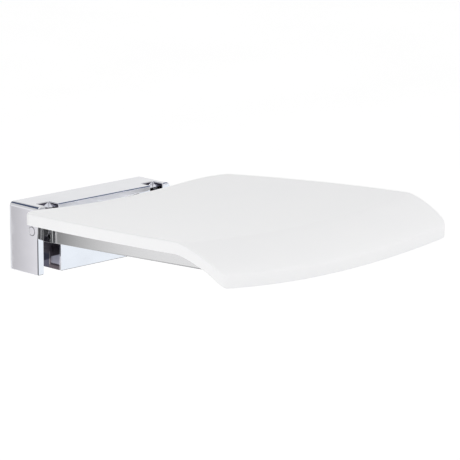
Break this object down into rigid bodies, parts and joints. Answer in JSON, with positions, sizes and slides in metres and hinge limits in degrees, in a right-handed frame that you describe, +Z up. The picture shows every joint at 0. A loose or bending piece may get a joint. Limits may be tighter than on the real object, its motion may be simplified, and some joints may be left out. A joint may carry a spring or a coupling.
{
  "type": "wall-hung folding shower seat",
  "caption": "Folding shower seat: a dished white seat with a rolled front edge on two arms that tip up into a chrome wall bracket.",
  "frame": {"origin": "middle of the bracket's wall face", "axes": "+Y into the wall, -Y the way the seat reaches out, +Z up, +X along the wall"},
  "size_m": [0.3792, 0.4468, 0.109],
  "materials": {
    "chrome": "bright polished chrome plate",
    "arm_metal": "fine satin stainless steel",
    "plain_steel": "rolled stainless steel sheet",
    "fastener_steel": "turned stainless steel",
    "rubber": "matt black moulded rubber",
    "bush_plastic": "black moulded bearing plastic",
    "grey_plastic": "grey moulded plastic, fine texture",
    "pan_plastic": "white moulded plastic, fine texture",
    "seat_plastic": "white moulded plastic, silk gloss"
  },
  "bodies": {
    "bracket": {"wall_gasket": "rubber", "wall_plate": "plain_steel", "pivot_lug_left": "plain_steel", "pivot_lug_right": "plain_steel", "stop_block_left": "plain_steel", "stop_block_right": "plain_steel", "stop_pad_left": "rubber", "stop_pad_right": "rubber", "bracket_housing": "chrome", "housing_screws": "fastener_steel", "pivot_pin_left": "chrome", "pivot_pin_right": "chrome", "pin_clip_left": "fastener_steel", "pin_clip_right": "fastener_steel", "thrust_washers_left": "fastener_steel", "thrust_washers_right": "fastener_steel"},
    "seat": {"hinge_bushes_left": "bush_plastic", "hinge_bushes_right": "bush_plastic", "hinge_block_left": "arm_metal", "hinge_block_right": "arm_metal", "arm_left": "arm_metal", "arm_right": "arm_metal", "arm_cap_left": "grey_plastic", "arm_cap_right": "grey_plastic", "cross_bar_rear": "arm_metal", "cross_bar_front": "arm_metal", "seat_pads_left": "grey_plastic", "seat_pads_right": "grey_plastic", "seat_screws_left": "fastener_steel", "seat_screws_right": "fastener_steel", "seat_rail_left": "plain_steel", "seat_rail_right": "plain_steel", "seat_underpan": "pan_plastic", "seat_shell": "seat_plastic"}
  },
  "joints": [
    {"name": "seat_fold", "type": "hinge", "parent": "bracket", "child": "seat", "pos_m": [0, -0.041, 0.0113], "axis": [-1, 0, 0], "range_deg": [0, 85]}
  ]
}
